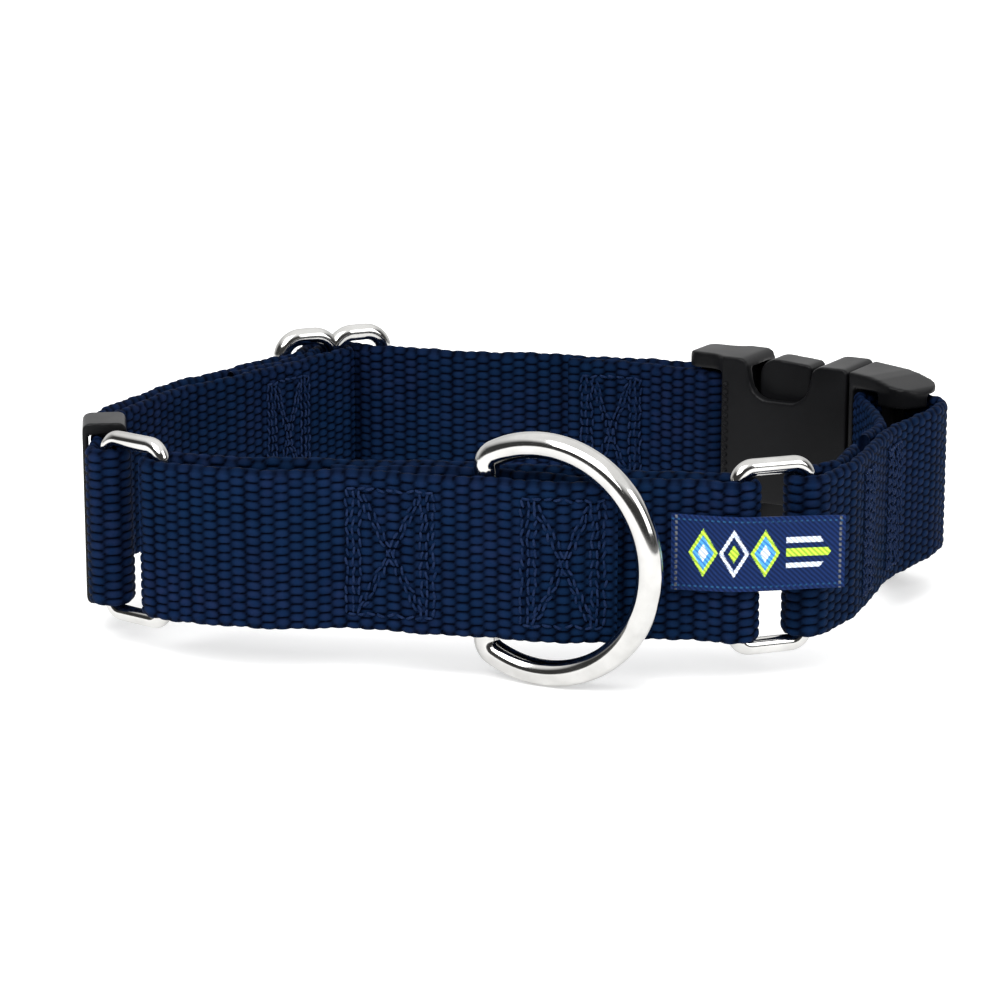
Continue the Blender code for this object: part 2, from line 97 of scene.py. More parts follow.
LEFT_RING_BACK = Vector((-0.0605, 0.0242))
LEFT_RING_FRONT = Vector((-0.0516, 0.0171))
RIGHT_RING_LEFT = Vector((0.0353, 0.0032))
RIGHT_RING_RIGHT = Vector((0.0460, 0.0071))
DRING_BAR = Vector((-0.0020, 0.0069))
SLIDE_CENTRE = Vector((-0.0294, 0.1018))
BUCKLE_PLACE = Vector((0.0334, 0.0860))

RING_TURN = RING_WIRE / 2 + TOUCH_GAP + WEB_THICK / 2
SLIDE_TURN = SLIDE_WIRE / 2 + TOUCH_GAP + WEB_THICK / 2
SLIDE_OVER = SLIDE_TURN + TOUCH_GAP + WEB_THICK
BUCKLE_TURN = 0.0031
LAYER_STEP = WEB_THICK + TOUCH_GAP


def heading(angle):
    return Vector((math.cos(angle), math.sin(angle)))


def left_of(direction):
    return Vector((-direction.y, direction.x))


SLIDE_ALONG = heading(SLIDE_ANGLE)
SLIDE_LEFT = SLIDE_CENTRE - SLIDE_ALONG * SLIDE_PITCH
SLIDE_RIGHT = SLIDE_CENTRE + SLIDE_ALONG * SLIDE_PITCH
FEMALE_BAR = BUCKLE_PLACE + heading(BUCKLE_ANGLE) * BAR_SETBACK
MOUTH_PLACE = BUCKLE_PLACE + heading(BUCKLE_ANGLE) * MOUTH
MALE_BAR_PLACE = MOUTH_PLACE + heading(MALE_ANGLE) * MALE_BAR

# ---------------------------------------------------------------- routes of the straps
# A stop is (point, radius, turn): turn +1 or -1 wraps a bar counterclockwise or clockwise with the
# strap's middle line at that radius; turn 0 is a bend rounded to that radius.


def neck_strap_stops():
    return [
        (Vector((-0.0457, 0.0795)), 0, 0),
        (Vector((-0.0424, 0.0842)), 0.030, 0),
        (SLIDE_LEFT, SLIDE_TURN + LAYER_STEP, 1),
        (SLIDE_CENTRE, SLIDE_TURN, -1),
        (SLIDE_LEFT, SLIDE_TURN + 2 * LAYER_STEP, -1),
        (Vector((-0.0405, 0.0828)), 0.030, 0),
        (Vector((-0.0440, 0.0774)), 0.020, 0),
        (Vector((-0.0529, 0.0688)), 0.040, 0),
        (Vector((-0.0624, 0.0485)), 0.012, 0),
        (Vector((-0.06045, 0.0293)), 0.004, 0),
        (Vector((-0.0579, 0.0262)), 0.003, 0),
        (LEFT_RING_BACK, RING_TURN, -1),
        (Vector((-0.0631, 0.0262)), 0.004, 0),
        (Vector((-0.0628, 0.0293)), 0.006, 0),
        (Vector((-0.0650, 0.0490)), 0.013, 0),
        (Vector((-0.0555, 0.0706)), 0.050, 0),
        (Vector((-0.0443, 0.0857)), 0.030, 0),
        (SLIDE_LEFT, SLIDE_TURN, 1),
        (SLIDE_CENTRE, SLIDE_OVER, -1),
        (SLIDE_RIGHT, SLIDE_TURN, 1),
        (Vector((-0.0110, 0.0990)), 0.020, 0),
        (Vector((0.0100, 0.0953)), 0.060, 0),
        (FEMALE_BAR, BUCKLE_TURN, -1),
        (Vector((0.0250, 0.0879)), 0.010, 0),
        (Vector((0.0120, 0.0917)), 0, 0),
    ]


def buckle_strap_stops():
    return [
        (Vector((0.0549, 0.0256)), 0, 0),
        (Vector((0.0511, 0.0147)), 0.007, 0),
        (RIGHT_RING_RIGHT, RING_TURN, 1),
        (Vector((0.0535, 0.0138)), 0.009, 0),
        (Vector((0.0608, 0.0355)), 0.060, 0),
        (Vector((0.0634, 0.0410)), 0.030, 0),
        (Vector((0.0703, 0.0513)), 0.020, 0),
        (Vector((0.0729, 0.0589)), 0.0048, 0),
        (MALE_BAR_PLACE, BUCKLE_TURN, 1),
        (Vector((0.0591, 0.0635)), 0.003, 0),
        (Vector((0.0600, 0.0561)), 0.030, 0),
        (Vector((0.0605, 0.0493)), 0.030, 0),
        (Vector((0.0609, 0.0415)), 0.020, 0),
        (Vector((0.0585, 0.0362)), 0.030, 0),
        (Vector((0.05695, 0.0316)), 0, 0),
    ]


def control_loop_stops():
    under = DRING_WIRE / 2 + TOUCH_GAP + WEB_THICK / 2
    return [
        (Vector((-0.0255, 0.0117)), 0, 0),
        (DRING_BAR, under, -1),
        (Vector((0.0120, 0.0038)), 0.010, 0),
        (Vector((0.0250, 0.0030)), 0.030, 0),
        (RIGHT_RING_LEFT, RING_TURN, 1),
        (Vector((0.0280, 0.0066)), 0.012, 0),
        (Vector((-0.0010, 0.0131)), 0.060, 0),
        (Vector((-0.0380, 0.0168)), 0.060, 0),
        (LEFT_RING_FRONT, RING_TURN, 1),
        (Vector((-0.0450, 0.0108)), 0.012, 0),
        (Vector((-0.0370, 0.0086)), 0.030, 0),
        (Vector((-0.0225, 0.0091)), 0.040, 0),
        (DRING_BAR, under, 1),
        (Vector((0.0070, 0.0014)), 0.012, 0),
        (Vector((0.0175, 0.0007)), 0, 0),
    ]


def label_stops():
    return [
        (Vector((0.0255, 0.0012)), 0, 0),
        (Vector((0.0350, -0.0013)), 0.012, 0),
        (Vector((0.0512, 0.0006)), 0, 0),
    ]


def tangent_line(centre_a, signed_a, centre_b, signed_b):
    """Straight run between two circles; a circle on the left of travel has a positive radius."""
    across = centre_b - centre_a
    lean = math.asin((signed_b - signed_a) / across.length)
    direction = heading(math.atan2(across.y, across.x) - lean)
    normal = left_of(direction)
    return centre_a - normal * signed_a, centre_b - normal * signed_b


def arc_points(centre, start, end, turn, step):
    first = math.atan2(start.y - centre.y, start.x - centre.x)
    last = math.atan2(end.y - centre.y, end.x - centre.x)
    sweep = (last - first) * turn % (2 * math.pi)
    count = max(1, math.ceil(sweep / step))
    radius = (start - centre).length
    return [centre + heading(first + turn * sweep * i / count) * radius for i in range(count + 1)]


def bend_points(before, corner, after, radius, step):
    """A corner between two straight runs, rounded to the radius."""
    arriving = (corner - before).normalized()
    leaving = (after - corner).normalized()
    turn = arriving.x * leaving.y - arriving.y * leaving.x
    angle = math.acos(max(-1.0, min(1.0, arriving.dot(leaving))))
    if radius == 0 or angle < math.radians(0.5):
        return [corner]
    cut = radius * math.tan(angle / 2)
    cut = min(cut, 0.48 * (corner - before).length, 0.48 * (after - corner).length)
    radius = cut / math.tan(angle / 2)
    side = 1 if turn > 0 else -1
    start = corner - arriving * cut
    centre = start + left_of(arriving) * radius * side
    return arc_points(centre, start, corner + leaving * cut, side, step)


def route(stops, step=math.radians(2)):
    """Middle line through the stops as a list of plan points."""
    runs = []
    for (a, ra, ta), (b, rb, tb) in zip(stops, stops[1:]):
        runs.append(tangent_line(a, ra * ta, b, rb * tb))
    points = [stops[0][0]]
    for i, (place, radius, turn) in enumerate(stops[1:-1], start=1):
        start, end = runs[i - 1][1], runs[i][0]
        if turn:
            points += arc_points(place, start, end, turn, step)
        else:
            points += bend_points(runs[i - 1][0], place, runs[i][1], radius, step)
    points.append(stops[-1][0])
    return points


def outline(corners, step=math.radians(6)):
    """Closed outline with rounded corners (x, y, radius)."""
    places = [Vector((x, y)) for x, y, _ in corners]
    points = []
    for i, (_, _, radius) in enumerate(corners):
        after = places[(i + 1) % len(places)]
        points += bend_points(places[i - 1], places[i], after, radius, step)
    return points


def mirrored(corners):
    return corners + [(x, -y, r) for x, y, r in reversed(corners)]


def framed(place):
    """Plan position in the collar's own frame."""
    return Vector((place[0] - CENTRE_X, place[1] - CENTRE_Y))


class Line:
    """A strap's middle line, read by distance along it."""

    def __init__(self, stops):
        places = np.array([framed(p) for p in route(stops)])
        kept = np.r_[True, np.linalg.norm(np.diff(places, axis=0), axis=1) > 1e-7]
        self.places = places[kept]
        steps = np.linalg.norm(np.diff(self.places, axis=0), axis=1)
        self.walked = np.r_[0.0, np.cumsum(steps)]
        self.length = self.walked[-1]

    def at(self, s):
        x = np.interp(s, self.walked, self.places[:, 0])
        y = np.interp(s, self.walked, self.places[:, 1])
        return np.stack([x, y], -1)

    def along(self, s):
        ahead = self.at(s + 0.0004) - self.at(s - 0.0004)
        return ahead / np.linalg.norm(ahead, axis=-1, keepdims=True)

    def near(self, place):
        """Distance along the line of its nearest point to a plan place."""
        spot = np.array(framed(place))
        fine = np.arange(0, self.length, 0.0001)
        gaps = np.linalg.norm(self.at(fine) - spot, axis=1)
        return float(fine[int(np.argmin(gaps))])


NECK = Line(neck_strap_stops())
SHORT = Line(buckle_strap_stops())
LOOP = Line(control_loop_stops())
LABEL = Line(label_stops())


def noise(a, b, seed=0.0):
    """Repeatable value from 0 to 1 for each pair of whole numbers."""
    value = np.sin(a * 12.9898 + b * 78.233 + seed * 37.719) * 43758.5453
    return value - np.floor(value)


# ---------------------------------------------------------------- stitching layout
STITCH_HALF = 0.0097
THREAD_PITCH = 0.00150
THREAD_LENGTH = 0.00128
THREAD_WIDTH = 0.00042

STITCH_FIELDS = {
    "loop_left_stitching": (LOOP, (-0.0233, 0.0091), (-0.0092, 0.0056), -1),
    "loop_right_stitching": (LOOP, (0.0030, 0.0020), (0.0160, 0.0008), -1),
    "slide_end_stitching": (NECK, (-0.0345, 0.0920), (-0.0408, 0.0824), 1),
    "buckle_end_stitching": (NECK, (0.0250, 0.0879), (0.0140, 0.0911), 1),
    "ring_end_stitching": (SHORT, (0.0547, 0.0175), (0.0571, 0.0245), -1),
    "buckle_strap_stitching": (SHORT, (0.0600, 0.0330), (0.0630, 0.0402), -1),
}


def stitch_rows(name):
    """Straight rows of stitches as (s, t) ends: a box with triple sides and a cross."""
    line, first, last, side = STITCH_FIELDS[name]
    a, b = sorted((line.near(first), line.near(last)))
    a, b = a + 0.0004, b - 0.0004
    h = STITCH_HALF
    rows = []
    for i in range(3):
        rows.append(((a + i * 0.0010, -h), (a + i * 0.0010, h)))
        rows.append(((b - i * 0.0010, -h), (b - i * 0.0010, h)))
    rows.append(((a, -h), (b, -h)))
    rows.append(((a, h), (b, h)))
    inner_a, inner_b = a + 0.0022, b - 0.0022
    for shift in (-0.0004, 0.0004):
        rows.append(((inner_a + shift, -h + 0.0008), (inner_b + shift, h - 0.0008)))
        rows.append(((inner_a + shift, h - 0.0008), (inner_b + shift, -h + 0.0008)))
    return line, side, rows


def dimple(line, side, s, t):
    """How far the stitching pulls the strap's face in, from 0 to 1, on that side of the line."""
    pull = np.zeros(np.broadcast(s, t).shape)
    for name, field in STITCH_FIELDS.items():
        if field[0] is not line or field[3] != side:
            continue
        for (sa, ta), (sb, tb) in stitch_rows(name)[2]:
            ds, dt = sb - sa, tb - ta
            share = np.clip(((s - sa) * ds + (t - ta) * dt) / (ds * ds + dt * dt), 0, 1)
            gap = np.hypot(s - sa - share * ds, t - ta - share * dt)
            pull = np.maximum(pull, np.exp(-((gap / 0.00045) ** 2)))
    return pull


# ---------------------------------------------------------------- woven straps
def weave(s, t, seed):
    """Height of the weave, 0 to 1: lens-shaped floats in columns, each column half a row off."""
    best = np.zeros(np.broadcast(s, t).shape)
    base = np.floor(s / COLUMN)
    for shift in (-1, 0, 1):
        column = base + shift
        shove = (noise(column, 3.0, seed) - 0.5) * 0.06
        u = s / COLUMN - column - 0.5 + shove
        row = t / ROW + 0.5 * (column % 2)
        index = np.round(row)
        wobble = (noise(column, index, seed) - 0.5) * 0.12
        v = row - index - wobble * 0.5
        reach = 0.60 + wobble * 0.3
        body = np.clip(1 - (np.abs(u) / reach) ** 2.0, 0, 1)
        half = 0.50 * body ** 0.62 + 1e-6
        crown = np.clip(1 - np.abs(v / half) ** 2.6, 0, 1) ** 0.5
        tall = (0.82 + 0.18 * noise(index, column, seed + 5)) * body ** 0.70
        best = np.maximum(best, crown * tall)
    return best


def grid_mesh(name, places, uvs, heights, caps):
    """Closed tube mesh from an array of cross sections (sections, around, 3)."""
    count, around = places.shape[:2]
    verts = places.reshape(-1, 3)
    i = np.arange(count - 1)[:, None]
    k = np.arange(around)[None, :]
    k2 = (k + 1) % around
    quads = np.stack([i * around + k, (i + 1) * around + k, (i + 1) * around + k2,
                      i * around + k2], -1).reshape(-1, 4)
    wide = uvs.shape[1]
    u1 = np.stack([i * wide + k, (i + 1) * wide + k, (i + 1) * wide + k + 1,
                   i * wide + k + 1], -1).reshape(-1)
    corner_uv = uvs.reshape(-1, 2)[u1]
    loops = quads.reshape(-1)
    sizes = np.full(len(quads), 4)
    extra_verts, extra_loops, extra_sizes, extra_uv = [], [], [], []
    for at_end in caps:
        ring = np.arange(around) + (0 if at_end == 0 else (count - 1) * around)
        if at_end == 0:
            ring = ring[::-1]
        centre = len(verts) + len(extra_verts)
        extra_verts.append(verts[ring].mean(0))
        fan = np.stack([np.full(around, centre), np.roll(ring, 1), ring], -1)
        extra_loops.append(fan.reshape(-1))
        extra_sizes.append(np.full(around, 3))
        extra_uv.append(np.zeros((around * 3, 2)) + uvs[0 if at_end == 0 else -1, 0])
    if extra_verts:
        verts = np.vstack([verts, extra_verts])
        loops = np.r_[loops, np.concatenate(extra_loops)]
        sizes = np.r_[sizes, np.concatenate(extra_sizes)]
        corner_uv = np.vstack([corner_uv, *extra_uv])
    mesh = bpy.data.meshes.new(name)
    mesh.vertices.add(len(verts))
    mesh.vertices.foreach_set("co", verts.astype(np.float32).ravel())
    mesh.loops.add(len(loops))
    mesh.loops.foreach_set("vertex_index", loops.astype(np.int32))
    mesh.polygons.add(len(sizes))
    starts = np.r_[0, np.cumsum(sizes)[:-1]]
    mesh.polygons.foreach_set("loop_start", starts.astype(np.int32))
    mesh.polygons.foreach_set("loop_total", sizes.astype(np.int32))
    layer = mesh.uv_layers.new(name="run")
    layer.data.foreach_set("uv", corner_uv.astype(np.float32).ravel())
    tall = mesh.attributes.new("height", "FLOAT", "POINT")
    values = np.r_[heights.reshape(-1), np.full(len(verts) - heights.size, 0.5)]
    tall.data.foreach_set("value", values.astype(np.float32))
    mesh.update(calc_edges=True)
    mesh.validate()
    mesh.shade_smooth()
    item = bpy.data.objects.new(name, mesh)
    bpy.context.scene.collection.objects.link(item)
    return item


def strap(name, line, first, last, seed, shade):
    """Woven strap between two distances along its line, each end on a column's edge.

    The face towards the right ring's bar is pressed in, so the ring has room to swing.
    """
    first = 0.0 if first <= 0 else round(first / COLUMN) * COLUMN
    last = line.length if last >= line.length else round(last / COLUMN) * COLUMN
    step = COLUMN / 6
    s = np.arange(first, last - step * 0.3, step)
    s = np.r_[s, last]
    core = WEB_THICK / 2 - VALLEY
    half = WEB_WIDTH / 2 - core - 0.0001
    flat = np.arange(-round(half / (ROW / 6)), round(half / (ROW / 6)) + 1) * (ROW / 6)
    flat = flat[np.abs(flat) <= half]
    turn = np.linspace(0, math.pi, SIDE_STEPS + 1)[1:-1]
    top, low = flat[-1], flat[0]
    t = np.r_[flat, top + core * turn, flat[::-1], low - core * turn]
    out = np.r_[np.full(len(flat), core), core * np.cos(turn), np.full(len(flat), -core),
                -core * np.cos(turn)]
    rise = np.r_[flat, top + core * np.sin(turn), flat[::-1], low - core * np.sin(turn)]
    push_out = np.r_[np.ones(len(flat)), np.cos(turn), -np.ones(len(flat)), -np.cos(turn)]
    push_up = np.r_[np.zeros(len(flat)), np.sin(turn), np.zeros(len(flat)), -np.sin(turn)]
    face = np.r_[np.ones(len(flat) + len(turn)), -np.ones(len(flat) + len(turn))]
    s2, t2 = s[:, None], t[None, :]
    # The weave height shapes the floats and is also stored as the height attribute. The webbing
    # look turns that attribute into painted shade in the valleys. The turned edges get 0.8 of the
    # height, so they are painted darker as well.
    height = weave(s2, t2, seed) * np.where(np.abs(push_out) > 0.99, 1.0, 0.8)[None, :]
    drop = np.zeros_like(height)
    for side in (1, -1):
        chosen = face == side
        drop[:, chosen] = dimple(line, side, s2, rise[None, chosen])
    grow = BUMP * height * (1 - 0.25 * drop) - 0.00004 * drop
    along = line.along(s)
    normal = np.stack([-along[:, 1], along[:, 0]], -1)
    middle = line.at(s)
    away = out[None, :] + push_out[None, :] * grow
    bar = framed(RIGHT_RING_LEFT)
    to_bar = np.array((bar.x, bar.y))[None, :] - middle
    toward = np.sign((to_bar * normal).sum(-1))[:, None]
    clear = np.maximum(np.hypot(to_bar[:, 0], to_bar[:, 1]) - RING_TURN, 0)[:, None]
    facing = np.clip(toward * push_out[None, :], 0, 1)
    away = away - toward * facing * BAR_PINCH * np.exp(-((clear / PINCH_REACH) ** 2))
    places = np.zeros((len(s), len(t), 3))
    places[..., :2] = middle[:, None, :] + normal[:, None, :] * away[..., None]
    waver = 0.00010 * np.sin(s * 310 + seed) + 0.00006 * np.sin(s * 811 + 2 * seed)
    places[..., 2] = MID + rise[None, :] + push_up[None, :] * grow + waver[:, None]
    places = places[:, ::-1]
    closed = np.r_[t, t[-1] + ROW / 6][::-1]
    uvs = np.zeros((len(s), len(t) + 1, 2))
    uvs[..., 0] = s[:, None] * 100
    uvs[..., 1] = closed[None, :] * 100
    height = np.clip(height, 0, 1)[:, ::-1]
    item = grid_mesh(name, places, uvs, height, (0, 1))
    item.data.materials.append(shade)
    return item


def stitches(field, name, shade):
    """Rows of short raised threads lying on a strap's face."""
    line, side, rows = stitch_rows(field)
    marks = []
    for (sa, ta), (sb, tb) in rows:
        length = math.hypot(sb - sa, tb - ta)
        count = max(2, round(length / THREAD_PITCH))
        for i in range(count):
            share = (i + 0.5) / count
            marks.append((sa + (sb - sa) * share, ta + (tb - ta) * share,
                          (sb - sa) / length, (tb - ta) / length))
    marks = np.array(marks)
    n = len(marks)
    x = np.linspace(-1, 1, 9)
    around = np.linspace(0, 2 * math.pi, 9)[:-1]
    jitter = noise(np.arange(n), 1.0, 3.0)[:, None, None]
    marks[:, 0] += (noise(np.arange(n), 2.0, 3.0) - 0.5) * 0.00036
    marks[:, 1] += (noise(np.arange(n), 4.0, 3.0) - 0.5) * 0.00030
    lean = (noise(np.arange(n), 5.0, 3.0) - 0.5) * 0.8
    marks[:, 2:] = np.stack([marks[:, 2] * np.cos(lean) - marks[:, 3] * np.sin(lean),
                             marks[:, 2] * np.sin(lean) + marks[:, 3] * np.cos(lean)], -1)
    reach = x[None, :, None] * THREAD_LENGTH / 2 * (0.92 + 0.16 * jitter)
    radius = THREAD_WIDTH / 2 * np.sqrt(np.clip(1 - 0.82 * x ** 4, 0.02, 1))[None, :, None]
    hump = 0.00020 * (1 - x ** 2)[None, :, None] - 0.00012
    sideways = radius * np.cos(around)[None, None, :]
    up = hump + radius * np.sin(around)[None, None, :] * 0.9
    ds, dt = marks[:, 2][:, None, None], marks[:, 3][:, None, None]
    s = marks[:, 0][:, None, None] + reach * ds - sideways * dt
    t = marks[:, 1][:, None, None] + reach * dt + sideways * ds
    up = np.broadcast_to(up, s.shape)
    middle, along = line.at(s), line.along(s)
    normal = np.stack([-along[..., 1], along[..., 0]], -1)
    places = np.zeros(s.shape + (3,))
    places[..., :2] = middle + normal * (side * (WEB_THICK / 2 + 0.00012 + up))[..., None]
    places[..., 2] = MID + t
    verts = places.reshape(-1, 3)
    rings, wide = 9, 8
    m = np.arange(n)[:, None, None] * rings * wide
    i = np.arange(rings - 1)[None, :, None] * wide
    k = np.arange(wide)[None, None, :]
    k2 = (k + 1) % wide
    quads = np.stack([m + i + k, m + i + k2, m + i + wide + k2, m + i + wide + k], -1)
    quads = quads.reshape(-1, 4)
    if side > 0:
        quads = quads[:, ::-1]
    first = (m[:, 0] + np.arange(wide)[None, :])
    last = first + (rings - 1) * wide
    mesh = bpy.data.meshes.new(name)
    faces = [tuple(q) for q in quads]
    for a, b in zip(first, last):
        a, b = (a[::-1], b) if side < 0 else (a, b[::-1])
        faces.append(tuple(a))
        faces.append(tuple(b))
    mesh.from_pydata([tuple(v) for v in verts], [], faces)
    layer = mesh.uv_layers.new(name="run")
    index = np.zeros(len(mesh.loops), np.int32)
    mesh.loops.foreach_get("vertex_index", index)
    per = np.stack([(index // wide) % rings / 8.0, (index % wide) / 8.0], -1)
    layer.data.foreach_set("uv", per.astype(np.float32).ravel())
    mesh.shade_smooth()
    item = bpy.data.objects.new(name, mesh)
    bpy.context.scene.collection.objects.link(item)
    mesh.materials.append(shade)
    return item


# ---------------------------------------------------------------- satin label
def motif(x, y):
    """Thread colours of the woven design, x along and y up in millimetres from the middle."""
    blue = np.array(LABEL_BLUE)
    lime = np.array((0.46, 0.72, 0.06))
    pale = np.array((0.72, 0.80, 0.92))
    sky = np.array((0.07, 0.30, 0.72))
    colour = np.zeros(x.shape + (3,)) + blue
    raised = np.zeros(x.shape)

    def paint(where, shade, height=1.0):
        colour[where] = shade
        raised[where] = height

    for i, centre in enumerate((-8.2, -3.6, 1.0)):
        far = np.abs(x - centre) / 2.2 + np.abs(y - 0.1) / 3.7
        paint(far < 1.0, lime if i != 1 else pale)
        paint(far < 0.74, sky if i != 1 else blue, 0.6)
        paint(far < 0.36, pale if i != 1 else lime)
    bars = (x > 4.1) & (x < 10.9 - np.abs(y - 0.1) * 0.7)
    paint(bars & (np.abs(y - 2.1) < 0.42), pale)
    paint(bars & (np.abs(y - 0.1) < 0.62), lime)
    paint(bars & (np.abs(y + 1.9) < 0.42), pale)
    dash = (x * 1.15) % 1.0 < 0.55
    paint((np.abs(np.abs(y) - 5.15) < 0.12) & dash, sky * 0.22, 0.6)
    dash = (y * 1.15) % 1.0 < 0.60
    paint((np.abs(x + 12.3) < 0.14) & dash, pale * 0.14, 0.6)
    paint((np.abs(x - 12.3) < 0.14) & dash, pale * 0.14, 0.6)
    return colour, raised


def label(shade):
    across = 92
    s = np.linspace(0, LABEL.length, 211)
    t = np.linspace(-LABEL_HEIGHT / 2, LABEL_HEIGHT / 2, across)
    s2, t2 = s[:, None], t[None, :]
    share = s2 / LABEL.length
    taper = 1 - 0.05 * share
    along_mm, up_mm = np.broadcast_arrays((s2 - LABEL.length / 2) * 1000, t2 * 1000)
    colour, raised = motif(along_mm, up_mm)
    along = LABEL.along(s)
    normal = np.stack([-along[:, 1], along[:, 0]], -1)
    wave = 0.00012 * np.sin(s2 * 520 + t2 * 90) * share + 0.00025 * (t2 / 0.0058) ** 2 * share
    rim = np.exp(-((np.abs(t2) - 0.0053) / 0.0004) ** 2) * 0.00008
    front = LABEL_THICK / 2 + raised * LABEL_RELIEF + rim
    back = np.full_like(front, -LABEL_THICK / 2)
    middle = LABEL.at(s)
    places = np.zeros((len(s), across * 2, 3))
    front_half, back_half = slice(0, across), slice(across, None)
    sides = ((-front, wave, front_half), (-back[:, ::-1], wave[:, ::-1], back_half))
    for out, bend, columns in sides:
        away = out - bend * 0.6
        places[:, columns, :2] = middle[:, None, :] + normal[:, None, :] * away[..., None]
    up = t2 * taper + 0.00025 * share
    places[:, front_half, 2] = MID + LABEL_RISE + up
    places[:, back_half, 2] = MID + LABEL_RISE + up[:, ::-1]
    both = np.r_[t, t[::-1], t[0]]
    uvs = np.zeros((len(s), across * 2 + 1, 2))
    uvs[..., 0] = s[:, None] * 100
    uvs[..., 1] = both[None, :] * 100
    relief = np.concatenate([raised, np.zeros_like(raised)], 1)
    item = grid_mesh("woven_label", places, uvs, relief, (0, 1))
    mesh = item.data
    paint = mesh.attributes.new("thread_colour", "FLOAT_COLOR", "POINT")
    tint = np.ones((len(mesh.vertices), 4))
    tint[:, :3] = LABEL_BLUE
    plain_back = np.broadcast_to(LABEL_BLUE, colour.shape)
    painted = np.concatenate([colour, plain_back], 1)
    tint[:len(s) * across * 2, :3] = painted.reshape(-1, 3)
    paint.data.foreach_set("color", tint.astype(np.float32).ravel())
    mesh.materials.append(shade)
    return item


# ---------------------------------------------------------------- wire hardware
def upright(place, angle):
    """Local X along the heading, local Y up, local Z towards the neck."""
    along = heading(angle)
    spot = framed(place)
    matrix = Matrix.Identity(4)
    matrix.col[0] = (along.x, along.y, 0, 0)
    matrix.col[1] = (0, 0, 1, 0)
    matrix.col[2] = (along.y, -along.x, 0, 0)
    matrix.col[3] = (spot.x, spot.y, MID, 1)
    return matrix


def wire(name, points, radius, shade, matrix, cyclic=True, sides=28):
    """Round wire along a line in a local X, Y plane, as a mesh."""
    p = np.array([tuple(q) for q in points])
    kept = np.linalg.norm(p - np.roll(p, 1, axis=0), axis=1) > 1e-7
    p = p[kept] if cyclic else p
    if cyclic:
        ahead = np.roll(p, -1, axis=0) - np.roll(p, 1, axis=0)
    else:
        ahead = np.gradient(p, axis=0)
    ahead /= np.linalg.norm(ahead, axis=1, keepdims=True)
    side = np.stack([ahead[:, 1], -ahead[:, 0]], -1)
    around = np.linspace(0, 2 * math.pi, sides + 1)[:-1]
    flat = p[:, None, :] + side[:, None, :] * (radius * np.cos(around))[None, :, None]
    deep = np.broadcast_to(radius * np.sin(around), flat.shape[:2])
    places = np.concatenate([flat, deep[..., None]], -1)
    count = len(p)
    verts = [matrix @ Vector(v) for v in places.reshape(-1, 3)]
    faces = []
    for i in range(count if cyclic else count - 1):
        j = (i + 1) % count
        for k in range(sides):
            m = (k + 1) % sides
            faces.append((i * sides + k, i * sides + m, j * sides + m, j * sides + k))
    if not cyclic:
        faces.append(tuple(range(sides))[::-1])
        faces.append(tuple(range((count - 1) * sides, count * sides)))
    mesh = bpy.data.meshes.new(name)
    mesh.from_pydata(verts, [], faces)
    mesh.shade_smooth()
    mesh.materials.append(shade)
    item = bpy.data.objects.new(name, mesh)
    bpy.context.scene.collection.objects.link(item)
    return item


def ring(name, bar_a, bar_b, shade):
    across = bar_b - bar_a
    half = (RING_HEIGHT - RING_WIRE) / 2
    corners = mirrored([(0, half, RING_CORNER), (across.length, half, RING_CORNER)][::-1])
    matrix = upright(bar_a, math.atan2(across.y, across.x))
    return wire(name, outline(corners), RING_WIRE / 2, shade, matrix)


def slide_loops(shade):
    half = (SLIDE_HEIGHT - SLIDE_WIRE) / 2
    matrix = upright(SLIDE_CENTRE, SLIDE_ANGLE)
    left = [(0, half, SLIDE_CORNER), (-SLIDE_PITCH, half, SLIDE_CORNER)]
    right = [(0, half, SLIDE_CORNER), (SLIDE_PITCH, half, SLIDE_CORNER)]
    first = wire("slide_loop_left", outline(mirrored(left)), SLIDE_WIRE / 2, shade, matrix)
    bend = outline(mirrored(right))
    second = wire("slide_loop_right", bend, SLIDE_WIRE / 2 - 0.00005, shade, matrix)
    return first, second


def dring_points():
    """Centre line of the D-ring: straight bar, two tight corners and the round bow."""
    inner = DRING_RADIUS - DRING_CORNER
    rise = math.sqrt(inner ** 2 - (DRING_OFFSET - DRING_CORNER) ** 2)
    swing = math.atan2(rise, DRING_CORNER - DRING_OFFSET)
    points = []
    for i in range(13):
        angle = math.pi + (swing - math.pi) * i / 12
        points.append(Vector((DRING_CORNER, rise)) + heading(angle) * DRING_CORNER)
    for i in range(1, 96):
        angle = swing - 2 * swing * i / 96
        points.append(Vector((DRING_OFFSET, 0)) + heading(angle) * DRING_RADIUS)
    for i in range(13):
        angle = -swing - (math.pi - swing) * i / 12
        points.append(Vector((DRING_CORNER, -rise)) + heading(angle) * DRING_CORNER)
    return points


# ---------------------------------------------------------------- moulded plastic
def moulded(node, voxel, shade):
    """The node's shape with the soft, rounded edges of a moulding."""
    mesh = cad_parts[node].data.copy()
    rough = bpy.data.objects.new(node + "_rough", mesh)
    bpy.context.scene.collection.objects.link(rough)
    weld = rough.modifiers.new("weld", "WELD")
    weld.merge_threshold = 0.000005
    remesh = rough.modifiers.new("remesh", "REMESH")
    remesh.mode = "VOXEL"
    remesh.voxel_size = voxel
    soft = rough.modifiers.new("soft", "SMOOTH")
    soft.factor = 0.5
    soft.iterations = 9
    bpy.context.view_layer.update()
    seen = rough.evaluated_get(bpy.context.evaluated_depsgraph_get())
    final = bpy.data.meshes.new_from_object(seen)
    bpy.data.objects.remove(rough, do_unlink=True)
    final.materials.clear()
    final.materials.append(shade)
    final.shade_smooth()
    item = bpy.data.objects.new(node + "_moulding", final)
    bpy.context.scene.collection.objects.link(item)
    return item


